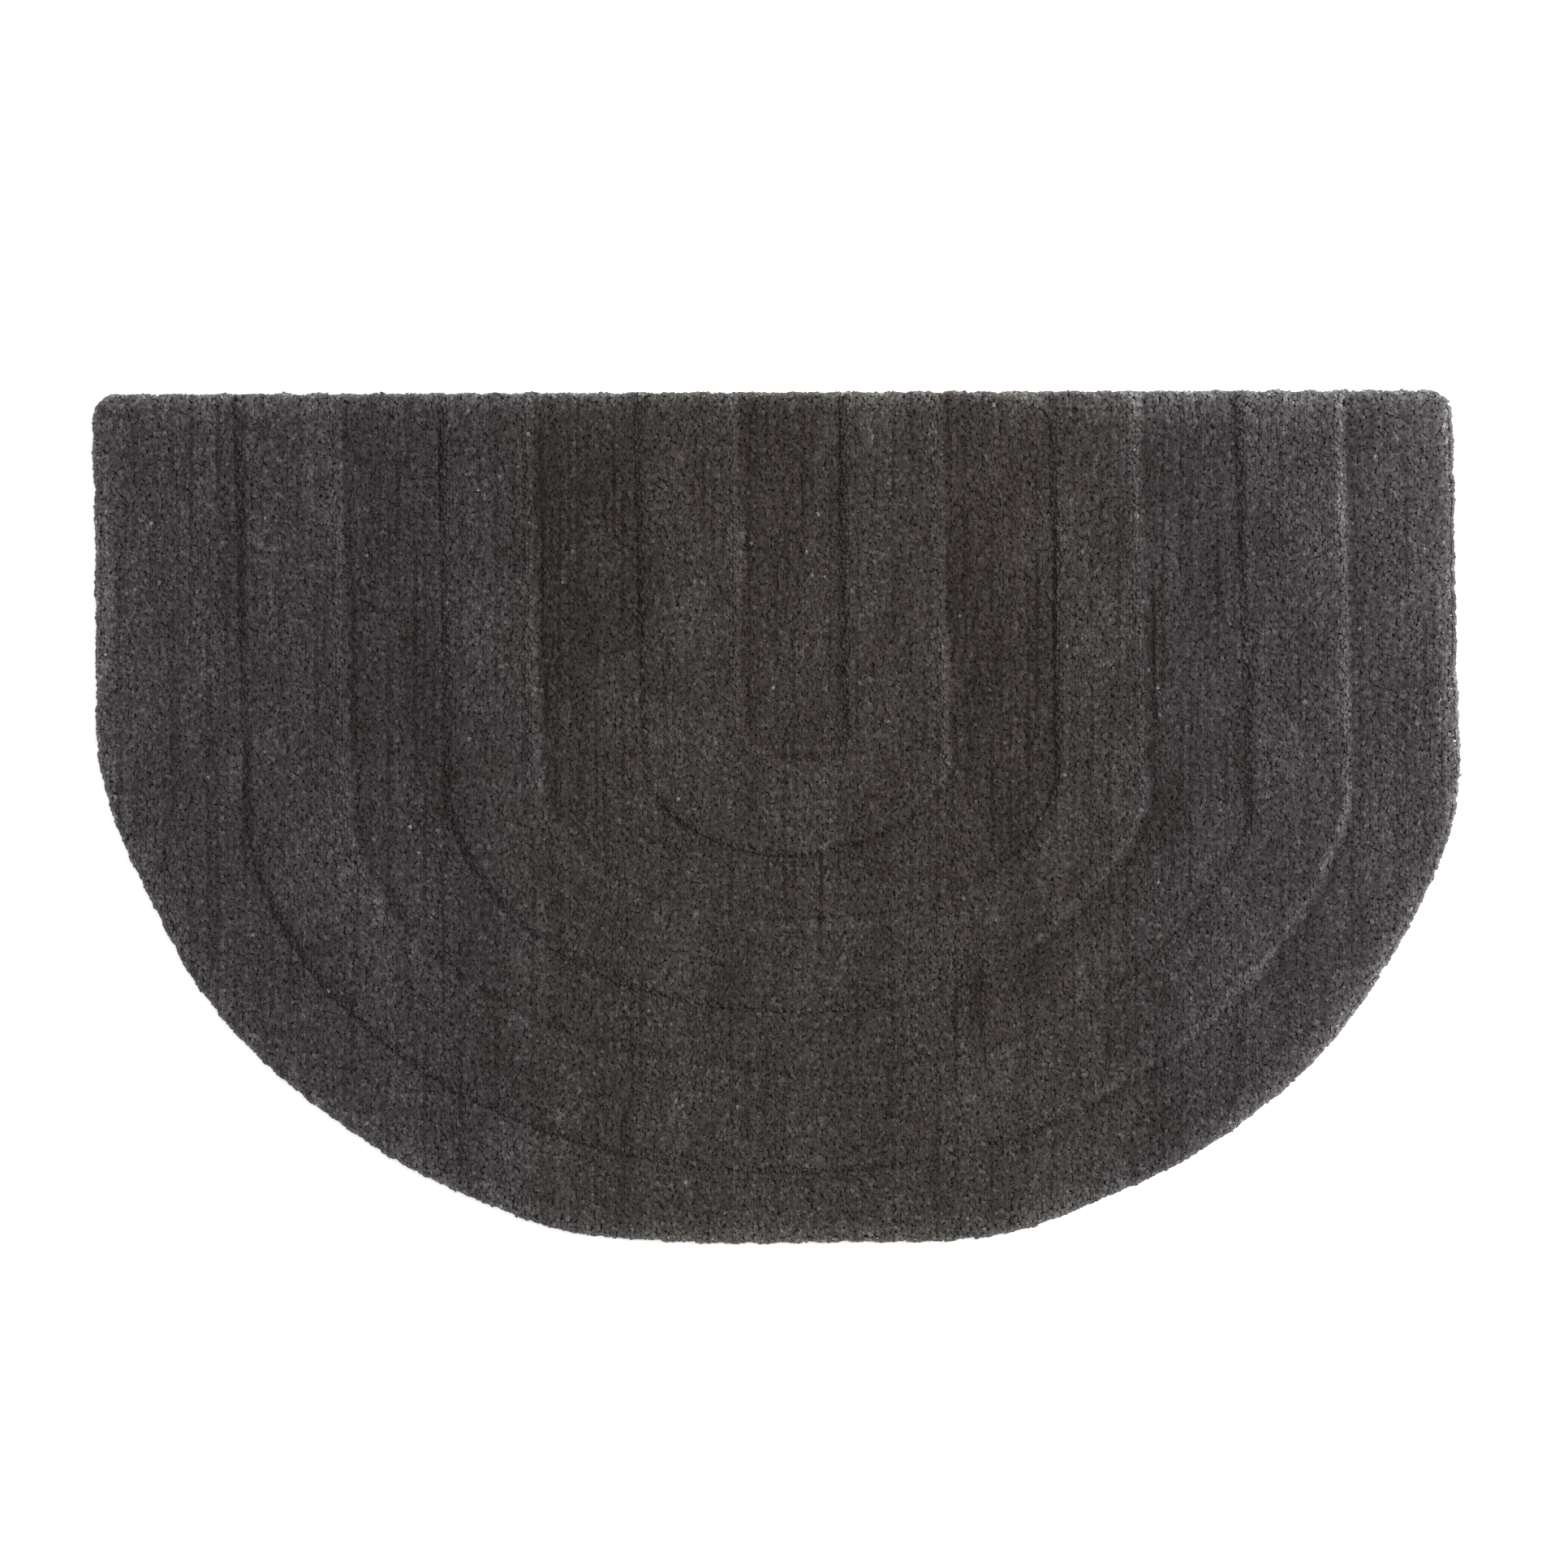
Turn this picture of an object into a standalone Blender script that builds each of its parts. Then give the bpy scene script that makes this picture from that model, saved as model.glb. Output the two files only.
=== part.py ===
"""Half round rug: one flat piece of tufted pile with three raised U-shaped bands.

The rug lies flat with its straight edge towards +Y. Every step between low and high pile
follows a course: a U that runs down from the straight edge, round the foot and up again.
The rim is the last course. All sizes are in metres.
"""

import math
from dataclasses import dataclass

import bmesh
import bpy
from mathutils import Vector
from mathutils.geometry import interpolate_bezier

# Heights above the floor
LOW_PILE = 0.010
RAISED_PILE = 0.014
RIM_WAIST = 0.0035
UNEVEN_PILE = 0.0003

# The straight edge climbs a little from left to right
STRAIGHT_EDGE_LEFT = 0.3455
STRAIGHT_EDGE_RIGHT = 0.3490
STRAIGHT_EDGE_SPAN = 1.12
CORNER_RADIUS = 0.019

# Sheared step between low and raised pile
STEP_WIDTH = 0.005

# Rounded rim: four rings, each nearer the outline. The pile drops at the first three, and the last
# is the waist, below which the rim tucks under.
RIM_INSETS = (0.008, 0.004, 0.0013, 0.0)
RIM_DROPS = (0.0, 0.0012, 0.0036)
WAIST_RING = len(RIM_INSETS) - 1
UNDERCUT = 0.0025

# Hand-cut unevenness of the outline: height, length and phase of each of its waves
RIM_WAVES = (
    (0.0017, 0.3072, 2.62), (0.00096, 0.2503, 1.02), (0.00086, 0.4078, -1.33),
    (0.00077, 0.1770, 2.11), (0.00053, 0.1292, -2.98),
)

# Mesh density
LEG_STEPS = 9
ARC_STEPS = 34
LINES_BETWEEN_STEPS = 2
BEZIER_POINTS = 60

PILE_COLOUR = (0.047, 0.042, 0.042, 1.0)


@dataclass(frozen=True)
class Course:
    """One U-shaped line of the rug, from end to end of the straight edge."""

    left: float
    right: float
    knee: float
    foot: float
    foot_x: float
    foot_run: float = 0.0
    lean: float = 0.005
    left_round: float = 0.55
    right_round: float = 0.55
    left_cut: float = 0.0
    right_cut: float = 0.0


SPINE = Course(left=0.0137, right=0.0137, knee=0.094, foot=0.088, foot_x=0.0150)

# Steps from the middle outwards; the pile is low inside the first one
STEPS = (
    Course(
        left=-0.0279, right=0.0573, knee=0.0761, foot=0.0434, foot_x=0.019, lean=0.004,
        left_round=0.442, right_round=0.705, left_cut=-0.012, right_cut=0.026,
    ),
    Course(
        left=-0.1096, right=0.1408, knee=0.0418, foot=-0.0305, foot_x=0.0184, lean=0.0079,
        left_round=0.516, right_round=0.373, left_cut=0.061, right_cut=-0.025,
    ),
    Course(
        left=-0.1964, right=0.2307, knee=0.0459, foot=-0.0882, foot_x=0.0263, lean=0.0058,
        left_round=0.613, right_round=0.579, left_cut=0.016, right_cut=0.002,
    ),
    Course(
        left=-0.2709, right=0.3043, knee=0.0069, foot=-0.1581, foot_x=0.021, lean=0.007,
        left_round=0.569, right_round=0.545, left_cut=0.259, right_cut=0.426,
    ),
    Course(
        left=-0.3524, right=0.3859, knee=-0.0056, foot=-0.2142, foot_x=0.0228, lean=0.0111,
        left_round=0.552, right_round=0.545, left_cut=0.156, right_cut=0.419,
    ),
    Course(
        left=-0.4378, right=0.4726, knee=0.0164, foot=-0.2899, foot_x=0.0123, lean=0.0091,
        left_round=0.545, right_round=0.53, left_cut=0.021, right_cut=0.236,
    ),
)

RIM = Course(
    left=-0.5583, right=0.5564, knee=0.0517, foot=-0.3495, foot_x=0.0179, foot_run=0.090,
    lean=0.0048, left_round=0.505, right_round=0.488, left_cut=0.167,
)


def straight_edge(x):
    """Y of the straight edge at x."""
    share = x / STRAIGHT_EDGE_SPAN + 0.5
    return STRAIGHT_EDGE_LEFT + (STRAIGHT_EDGE_RIGHT - STRAIGHT_EDGE_LEFT) * share


def evenly_spaced(points, count):
    """Points of a polyline, respaced into count equal lengths, without its last point."""
    lengths = [0.0]
    for start, end in zip(points, points[1:]):
        lengths.append(lengths[-1] + (end - start).length)
    spaced = []
    place = 0
    for index in range(count):
        wanted = lengths[-1] * index / count
        while place < len(lengths) - 2 and lengths[place + 1] < wanted:
            place += 1
        stretch = max(lengths[place + 1] - lengths[place], 1e-9)
        share = (wanted - lengths[place]) / stretch
        spaced.append(points[place].lerp(points[place + 1], share))
    return spaced


def leg_points(course, middle_x):
    """One straight leg, from the straight edge down to just above the knee."""
    top_x = middle_x - course.lean / 2
    knee_x = middle_x + course.lean / 2
    top_y = straight_edge(top_x)
    depths = sorted(RIM_INSETS)
    last = depths[-1]
    run = top_y - course.knee - last
    depths += [last + run * step / LEG_STEPS for step in range(1, LEG_STEPS)]
    points = []
    for depth in depths:
        share = depth / (top_y - course.knee)
        points.append(Vector((top_x + (knee_x - top_x) * share, top_y - depth, 0.0)))
    return points


def arc_points(course, side):
    """One half of the round end, from the knee to the middle of the foot, last point left out."""
    leg_x = course.left if side < 0 else course.right
    roundness = course.left_round if side < 0 else course.right_round
    cut = course.left_cut if side < 0 else course.right_cut
    knee = Vector((leg_x + course.lean / 2, course.knee, 0.0))
    foot = Vector((course.foot_x + side * course.foot_run, course.foot, 0.0))
    drop = (course.knee - course.foot) * roundness
    reach = (knee.x - foot.x) * roundness
    knee_handle = knee + Vector((-side * cut * drop, -drop, 0.0))
    foot_handle = foot + Vector((reach, 0.0, 0.0))
    points = interpolate_bezier(knee, knee_handle, foot_handle, foot, BEZIER_POINTS)
    if course.foot_run > 0.0:
        points.append(Vector((course.foot_x, course.foot, 0.0)))
    return evenly_spaced(points, ARC_STEPS)


def course_points(course):
    """The whole U, from the left end of the straight edge to the right end."""
    left_half = leg_points(course, course.left) + arc_points(course, -1)
    right_half = leg_points(course, course.right) + arc_points(course, 1)
    foot = Vector((course.foot_x, course.foot, 0.0))
    return left_half + [foot] + right_half[::-1]


def outward_directions(points):
    """Unit vectors that point away from the middle of a U, level along its straight legs."""
    directions = []
    last = len(points) - 1
    for index in range(len(points)):
        along = points[min(index + 1, last)] - points[max(index - 1, 0)]
        if min(index, last - index) < len(RIM_INSETS):
            along = Vector((0.0, -1.0 if index < last / 2 else 1.0, 0.0))
        directions.append(Vector((along.y, -along.x, 0.0)).normalized())
    return directions


def offset_line(points, distance):
    """A U moved outwards by a distance."""
    return [point + away * distance for point, away in zip(points, outward_directions(points))]


def waved_rim(points):
    """The rim with the low waves of a hand-cut edge along its round part."""
    moved = []
    travelled = 0.0
    length = sum((end - start).length for start, end in zip(points, points[1:]))
    previous = points[0]
    for point, away in zip(points, outward_directions(points)):
        travelled += (point - previous).length
        previous = point
        fade = math.sin(math.pi * travelled / length)
        turn = 2 * math.pi * travelled
        wave = sum(size * math.sin(turn / pitch + phase) for size, pitch, phase in RIM_WAVES)
        moved.append(point + away * wave * fade)
    return moved


def lines_across():
    """Every line of the pile's surface from the spine to the rim, with its pile height and its ring."""
    lines = [(course_points(SPINE), LOW_PILE, 0)]
    height_inside = LOW_PILE
    for step in STEPS:
        height_outside = RAISED_PILE if height_inside == LOW_PILE else LOW_PILE
        points = course_points(step)
        add_lines_between(lines, offset_line(points, -STEP_WIDTH / 2), height_inside)
        lines.append((offset_line(points, STEP_WIDTH / 2), height_outside, 0))
        height_inside = height_outside
    rim = waved_rim(course_points(RIM))
    add_lines_between(lines, offset_line(rim, -RIM_INSETS[0]), LOW_PILE)
    for ring in range(1, WAIST_RING + 1):
        lines.append((offset_line(rim, -RIM_INSETS[ring]), LOW_PILE, ring))
    return lines


def add_lines_between(lines, points, height):
    """Fill from the last line up to a new one with evenly spread lines, and add the new one."""
    inner = lines[-1][0]
    for index in range(1, LINES_BETWEEN_STEPS + 1):
        share = index / (LINES_BETWEEN_STEPS + 1)
        lines.append(([a.lerp(b, share) for a, b in zip(inner, points)], height, 0))
    lines.append((points, height, 0))


def rounded_height(height, ring):
    """Height of the pile at a ring of the rim."""
    return RIM_WAIST if ring == WAIST_RING else height - RIM_DROPS[ring]


def pile_unevenness(point):
    """Slow rise and fall of the pile's surface."""
    return UNEVEN_PILE * math.sin(17 * point.x + 5 * point.y) * math.cos(13 * point.y - 9 * point.x)


def round_corner(point, left_end, right_end):
    """Bend the square end of a leg into the rug's rounded corner."""
    end = left_end if point.x < 0 else right_end
    side = math.copysign(1.0, end.x)
    centre = Vector((end.x - side * CORNER_RADIUS, end.y - CORNER_RADIUS))
    across = (point.x - centre.x) * side
    up = point.y - centre.y
    if across <= 0.0 or up <= 0.0:
        return point
    shrink = max(across, up) / math.hypot(across, up)
    return Vector((centre.x + side * across * shrink, centre.y + up * shrink, point.z))


def pile_surface(mesh):
    """Lay a grid over the lines, so that it becomes the rug's whole upper surface."""
    lines = lines_across()
    last_row = len(lines[0][0]) - 1
    left_end = lines[-1][0][0]
    right_end = lines[-1][0][-1]
    grid = bmesh.ops.create_grid(mesh, x_segments=last_row, y_segments=len(lines) - 1, size=1.0)
    for index, vertex in enumerate(grid["verts"]):
        line, row = divmod(index, last_row + 1)
        points, height, line_ring = lines[line]
        edge_ring = max(0, WAIST_RING - min(row, last_row - row))
        point = points[row].copy()
        point.z = rounded_height(height, max(line_ring, edge_ring)) + pile_unevenness(point)
        vertex.co = round_corner(point, left_end, right_end)
    bmesh.ops.remove_doubles(mesh, verts=mesh.verts, dist=0.0001)


def inward_direction(vertex):
    """Level direction from a rim vertex into the rug."""
    faces = vertex.link_faces
    centre = sum((face.calc_center_median() for face in faces), Vector()) / len(faces)
    inward = centre - vertex.co
    inward.z = 0.0
    return inward.normalized()


def close_underside(mesh):
    """Tuck the rim under to the floor and close the flat underside."""
    rim_edges = [edge for edge in mesh.edges if edge.is_boundary]
    rim = {vertex for edge in rim_edges for vertex in edge.verts}
    inward = {tuple(vertex.co): inward_direction(vertex) for vertex in rim}
    tucked = bmesh.ops.extrude_edge_only(mesh, edges=rim_edges)["geom"]
    for vertex in (item for item in tucked if isinstance(item, bmesh.types.BMVert)):
        vertex.co += inward[tuple(vertex.co)] * UNDERCUT
        vertex.co.z = 0.0
    floor_edges = [edge for edge in mesh.edges if edge.is_boundary]
    bmesh.ops.contextual_create(mesh, geom=floor_edges)
    bmesh.ops.recalc_face_normals(mesh, faces=mesh.faces)


def centre_footprint(mesh):
    """Put the middle of the rug's footprint on the origin."""
    xs = [vertex.co.x for vertex in mesh.verts]
    ys = [vertex.co.y for vertex in mesh.verts]
    middle = Vector(((min(xs) + max(xs)) / 2, (min(ys) + max(ys)) / 2, 0.0))
    bmesh.ops.translate(mesh, verts=mesh.verts, vec=-middle)


def charcoal_pile():
    """Matt charcoal yarn."""
    material = bpy.data.materials.new("charcoal_pile")
    material.use_nodes = True
    shader = material.node_tree.nodes["Principled BSDF"]
    shader.inputs["Base Color"].default_value = PILE_COLOUR
    shader.inputs["Roughness"].default_value = 0.95
    shader.inputs["Metallic"].default_value = 0.0
    return material


def make_rug():
    """Build the rug and link it to the scene."""
    mesh = bmesh.new()
    pile_surface(mesh)
    close_underside(mesh)
    centre_footprint(mesh)
    data = bpy.data.meshes.new("rug")
    mesh.to_mesh(data)
    mesh.free()
    data.shade_smooth()
    data.set_sharp_from_angle(angle=math.radians(50))
    data.materials.append(charcoal_pile())
    rug = bpy.data.objects.new("rug", data)
    bpy.context.scene.collection.objects.link(rug)
    return rug


for old_object in list(bpy.data.objects):
    bpy.data.objects.remove(old_object, do_unlink=True)
make_rug()
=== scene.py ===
"""Looks of the half round rug: its ground, its cut pile and a plain studio.

The rug lies flat with its straight edge towards +Y. Low and raised pile meet along courses,
U-shaped lines that run down from the straight edge, round the foot and up again. Every yarn
end of the cut pile is modelled: it stands on a tufting grid, is sheared to the height of its
place and splays outwards at the rim. All sizes are in metres.
"""

import logging
import math
from dataclasses import dataclass, field
from enum import Enum

import bmesh
import bpy
import numpy as np
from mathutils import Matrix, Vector
from mathutils.geometry import interpolate_bezier


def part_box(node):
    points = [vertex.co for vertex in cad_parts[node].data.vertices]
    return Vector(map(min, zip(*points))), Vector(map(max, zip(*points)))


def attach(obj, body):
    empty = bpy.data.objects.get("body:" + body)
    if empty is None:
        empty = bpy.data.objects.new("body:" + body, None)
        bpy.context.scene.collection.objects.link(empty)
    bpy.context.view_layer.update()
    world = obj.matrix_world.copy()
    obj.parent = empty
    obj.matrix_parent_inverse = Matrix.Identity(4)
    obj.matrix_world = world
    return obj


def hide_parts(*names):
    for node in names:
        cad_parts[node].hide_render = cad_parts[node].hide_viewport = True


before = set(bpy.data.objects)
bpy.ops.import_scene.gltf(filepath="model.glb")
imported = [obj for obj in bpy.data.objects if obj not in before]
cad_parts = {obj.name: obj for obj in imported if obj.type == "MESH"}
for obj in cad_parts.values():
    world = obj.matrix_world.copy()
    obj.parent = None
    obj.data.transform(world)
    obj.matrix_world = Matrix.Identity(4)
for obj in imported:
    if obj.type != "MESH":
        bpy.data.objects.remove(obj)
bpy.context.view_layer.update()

LOG = logging.getLogger("half_round_rug")
PHOTO_PIXELS = 1932
SEED = 20


class PileHeight(Enum):
    """Height above the floor that a stretch of pile is sheared to."""

    LOW = 0.010
    RAISED = 0.014


class Zone(Enum):
    """Stretches of pile from the middle of the rug outwards. Every second one is raised."""

    TONGUE = "tongue"
    INNER_BAND = "inner_band"
    INNER_VALLEY = "inner_valley"
    MIDDLE_BAND = "middle_band"
    OUTER_VALLEY = "outer_valley"
    OUTER_BAND = "outer_band"
    BORDER = "border"


@dataclass(frozen=True)
class Course:
    """One U-shaped line of the rug, from end to end of the straight edge.

    The legs stand at left and right half way up, lean by lean metres over their length and
    end at the knee. The round end reaches down to the foot, which may have a level run. A
    cut slants the start of the round end inwards.
    """

    left: float
    right: float
    knee: float
    foot: float
    foot_x: float
    foot_run: float = 0.0
    lean: float = 0.005
    left_round: float = 0.55
    right_round: float = 0.55
    left_cut: float = 0.0
    right_cut: float = 0.0

    def leg_x(self, side: int) -> float:
        """X of the left (-1) or right (1) leg half way up."""
        return self.left if side < 0 else self.right

    def roundness(self, side: int) -> float:
        """Fullness of the round end on one side."""
        return self.left_round if side < 0 else self.right_round

    def cut(self, side: int) -> float:
        """Inward slant with which the round end leaves the knee on one side."""
        return self.left_cut if side < 0 else self.right_cut


@dataclass(frozen=True)
class RugPlan:
    """Sizes of the rug seen from above, and the lines that follow from them."""

    straight_left: float = 0.3455
    straight_right: float = 0.3490
    straight_span: float = 1.12
    corner_radius: float = 0.019
    step_width: float = 0.005
    rim_waves: tuple = (
        (0.0017, 0.3072, 2.62), (0.00096, 0.2503, 1.02), (0.00086, 0.4078, -1.33),
        (0.00077, 0.1770, 2.11), (0.00053, 0.1292, -2.98),
    )
    bezier_points: int = 60
    spine: Course = Course(left=0.0137, right=0.0137, knee=0.094, foot=0.088, foot_x=0.0150)
    steps: tuple = (
        Course(
            left=-0.0279, right=0.0573, knee=0.0761, foot=0.0434, foot_x=0.019, lean=0.004,
            left_round=0.442, right_round=0.705, left_cut=-0.012, right_cut=0.026,
        ),
        Course(
            left=-0.1096, right=0.1408, knee=0.0418, foot=-0.0305, foot_x=0.0184, lean=0.0079,
            left_round=0.516, right_round=0.373, left_cut=0.061, right_cut=-0.025,
        ),
        Course(
            left=-0.1964, right=0.2307, knee=0.0459, foot=-0.0882, foot_x=0.0263, lean=0.0058,
            left_round=0.613, right_round=0.579, left_cut=0.016, right_cut=0.002,
        ),
        Course(
            left=-0.2709, right=0.3043, knee=0.0069, foot=-0.1581, foot_x=0.021, lean=0.007,
            left_round=0.569, right_round=0.545, left_cut=0.259, right_cut=0.426,
        ),
        Course(
            left=-0.3524, right=0.3859, knee=-0.0056, foot=-0.2142, foot_x=0.0228, lean=0.0111,
            left_round=0.552, right_round=0.545, left_cut=0.156, right_cut=0.419,
        ),
        Course(
            left=-0.4378, right=0.4726, knee=0.0164, foot=-0.2899, foot_x=0.0123, lean=0.0091,
            left_round=0.545, right_round=0.53, left_cut=0.021, right_cut=0.236,
        ),
    )
    rim: Course = Course(
        left=-0.5583, right=0.5564, knee=0.0517, foot=-0.3495, foot_x=0.0179, foot_run=0.090,
        lean=0.0048, left_round=0.505, right_round=0.488, left_cut=0.167,
    )

    def straight_edge(self, x: float) -> float:
        """Y of the straight edge at x."""
        share = x / self.straight_span + 0.5
        return self.straight_left + (self.straight_right - self.straight_left) * share

    def leg(self, course: Course, side: int, depths: list[float], steps: int) -> list[Vector]:
        """Lays out one straight leg from the straight edge down to just above the knee.

        Args:
            course: the course that the leg belongs to.
            side: -1 for the left leg, 1 for the right one.
            depths: distances below the straight edge that come first.
            steps: even steps from the last of those distances to the knee.

        Returns:
            The leg's points, without the knee itself.
        """
        top_x = course.leg_x(side) - course.lean / 2
        top_y = self.straight_edge(top_x)
        run = top_y - course.knee
        rest = run - depths[-1]
        all_depths = depths + [depths[-1] + rest * step / steps for step in range(1, steps)]
        return [Vector((top_x + course.lean * depth / run, top_y - depth)) for depth in all_depths]

    def arc(self, course: Course, side: int, steps: int) -> list[Vector]:
        """Lays out one half of a course's round end.

        Args:
            course: the course that the arc belongs to.
            side: -1 for the left half, 1 for the right one.
            steps: even steps from the knee to the middle of the foot.

        Returns:
            The points from the knee on, without the middle of the foot.
        """
        knee = Vector((course.leg_x(side) + course.lean / 2, course.knee))
        foot = Vector((course.foot_x + side * course.foot_run, course.foot))
        drop = (course.knee - course.foot) * course.roundness(side)
        reach = (knee.x - foot.x) * course.roundness(side)
        knee_handle = knee + Vector((-side * course.cut(side) * drop, -drop))
        foot_handle = foot + Vector((reach, 0.0))
        points = interpolate_bezier(knee, knee_handle, foot_handle, foot, self.bezier_points)
        points = [point.to_2d() for point in points]
        if course.foot_run > 0.0:
            points.append(Vector((course.foot_x, course.foot)))
        return evenly_spaced(points, steps)

    def line(self, course: Course, depths: list[float], leg_steps: int, arc_steps: int) -> np.ndarray:
        """Lays out a whole course as an array of points, from its left end to its right end.

        Args:
            course: the course.
            depths: distances below the straight edge of the first points of each leg.
            leg_steps: further steps down each leg.
            arc_steps: steps round each half of the round end.

        Returns:
            An array with a row for each point.
        """
        halves = [
            self.leg(course, side, depths, leg_steps) + self.arc(course, side, arc_steps)
            for side in (-1, 1)
        ]
        foot = Vector((course.foot_x, course.foot))
        return np.array([tuple(point) for point in halves[0] + [foot] + halves[1][::-1]])

    def waved_rim(self, depths: list[float], leg_steps: int, arc_steps: int) -> np.ndarray:
        """The rim's line with the low waves of a hand-cut edge."""
        rim = self.line(self.rim, depths, leg_steps, arc_steps)
        travelled = np.concatenate([[0.0], np.cumsum(np.hypot(*np.diff(rim, axis=0).T))])
        fade = np.sin(math.pi * travelled / travelled[-1])
        turn = 2 * math.pi * travelled
        wave = sum(size * np.sin(turn / pitch + phase) for size, pitch, phase in self.rim_waves)
        return rim + outward(rim, len(depths)) * (wave * fade)[:, None]


def evenly_spaced(points: list[Vector], count: int) -> list[Vector]:
    """Respaces a polyline into equal lengths.

    Args:
        points: the polyline.
        count: how many equal lengths it is cut into.

    Returns:
        The start of each length, so the polyline's last point is left out.
    """
    line = np.array([tuple(point) for point in points])
    lengths = np.concatenate([[0.0], np.cumsum(np.hypot(*np.diff(line, axis=0).T))])
    wanted = lengths[-1] * np.arange(count) / count
    spaced = np.stack([np.interp(wanted, lengths, line[:, axis]) for axis in (0, 1)], axis=1)
    return [Vector(tuple(point)) for point in spaced]


def outward(line: np.ndarray, level_ends: int) -> np.ndarray:
    """Unit vectors that point away from the middle of a U.

    Args:
        line: the U's points.
        level_ends: how many points at each end have a vector straight along X.

    Returns:
        An array with a row for each point.
    """
    along = np.gradient(line, axis=0)
    along[:level_ends] = (0.0, -1.0)
    along[-level_ends:] = (0.0, 1.0)
    away = np.stack([along[:, 1], -along[:, 0]], axis=1)
    return away / np.linalg.norm(away, axis=1, keepdims=True)


def nearest_on_line(points: np.ndarray, line: np.ndarray) -> np.ndarray:
    """The nearest place on a polyline for each point."""
    best = np.full(len(points), np.inf)
    place = np.zeros_like(points)
    for start, end in zip(line[:-1], line[1:]):
        along = end - start
        share = np.clip((points - start) @ along / (along @ along), 0.0, 1.0)
        candidate = start + share[:, None] * along
        off = ((points - candidate) ** 2).sum(axis=1)
        closer = off < best
        best[closer] = off[closer]
        place[closer] = candidate[closer]
    return place


def is_inside(points: np.ndarray, polygon: np.ndarray) -> np.ndarray:
    """True for each point inside a closed polygon."""
    x, y = points.T
    inside = np.zeros(len(points), bool)
    for (x0, y0), (x1, y1) in zip(polygon, np.roll(polygon, -1, axis=0)):
        if y0 == y1:
            continue
        crosses = (y0 > y) != (y1 > y)
        inside ^= crosses & (x < (x1 - x0) * (y - y0) / (y1 - y0) + x0)
    return inside


def smooth_step(share: np.ndarray) -> np.ndarray:
    """0 below 0, 1 above 1 and a smooth rise between them."""
    held = np.clip(share, 0.0, 1.0)
    return held * held * (3.0 - 2.0 * held)


@dataclass
class Relief:
    """Where the pile is low or raised, and how far every place is from the rim."""

    plan: RugPlan
    leg_steps: int = 4
    arc_steps: int = 44
    beyond_edge: float = 0.06
    shift: np.ndarray = field(init=False)
    step_lines: list = field(init=False)
    outline: np.ndarray = field(init=False)

    def __post_init__(self) -> None:
        """Works out the lines once, centred on the CAD footprint."""
        low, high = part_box("rug")
        rim = self.plan.waved_rim([0.0], self.leg_steps, self.arc_steps)
        raw_middle = (rim.min(axis=0) + rim.max(axis=0)) / 2
        cad_middle = np.array([(low[axis] + high[axis]) / 2 for axis in (0, 1)])
        self.shift = cad_middle - raw_middle
        self.step_lines = [
            self.open_ended(self.plan.line(step, [0.0], self.leg_steps, self.arc_steps) + self.shift)
            for step in self.plan.steps
        ]
        self.outline = self.with_round_corners(rim) + self.shift

    def open_ended(self, line: np.ndarray) -> np.ndarray:
        """A course with its legs carried on past the straight edge."""
        up = np.array([0.0, self.beyond_edge])
        return np.vstack([line[0] + up, line, line[-1] + up])

    def with_round_corners(self, rim: np.ndarray) -> np.ndarray:
        """The closed outline, with its two corners rounded."""
        radius = self.plan.corner_radius
        corners = []
        for end, start_angle in ((rim[-1], 0.0), (rim[0], math.pi / 2)):
            side = math.copysign(1.0, end[0])
            centre = end - np.array([side * radius, radius])
            angles = start_angle + np.linspace(0.0, math.pi / 2, 7)
            corners.append(centre + radius * np.stack([np.cos(angles), np.sin(angles)], axis=1))
        legs_and_foot = rim[rim[:, 1] < self.plan.straight_left - radius]
        return np.vstack([legs_and_foot, *corners])

    def zones(self, points: np.ndarray) -> np.ndarray:
        """Number of the zone that each point lies in, counted from the middle outwards."""
        return sum((~is_inside(points, line)).astype(int) for line in self.step_lines)

    def from_rim(self, points: np.ndarray) -> tuple[np.ndarray, np.ndarray]:
        """How far inside the outline each point is, and which way the rim lies.

        Args:
            points: places on the rug, a row each.

        Returns:
            The distances, negative outside the outline, and unit vectors towards the outside.
        """
        offset = nearest_on_line(points, np.vstack([self.outline, self.outline[:1]])) - points
        distance = np.linalg.norm(offset, axis=1)
        side = np.where(is_inside(points, self.outline), 1.0, -1.0)
        return distance * side, offset * (side / np.maximum(distance, 1e-9))[:, None]

    def from_step(self, points: np.ndarray) -> tuple[np.ndarray, np.ndarray]:
        """How far each point is from the nearest step, and which way is down that step.

        Args:
            points: places on the rug, a row each.

        Returns:
            The distances, negative on the low side, and unit vectors towards the low side.
        """
        best = np.full(len(points), np.inf)
        offset = np.zeros_like(points)
        for line in self.step_lines:
            to_line = nearest_on_line(points, line) - points
            distance = np.linalg.norm(to_line, axis=1)
            closer = distance < best
            best[closer] = distance[closer]
            offset[closer] = to_line[closer]
        side = np.where(self.zones(points) % 2 == 1, 1.0, -1.0)
        return best * side, offset * (side / np.maximum(best, 1e-9))[:, None]

    def full_height(self, from_step: np.ndarray) -> np.ndarray:
        """Height of the plain relief at each distance from a step."""
        rise = PileHeight.RAISED.value - PileHeight.LOW.value
        return PileHeight.LOW.value + rise * smooth_step(from_step / self.plan.step_width + 0.5)


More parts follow.
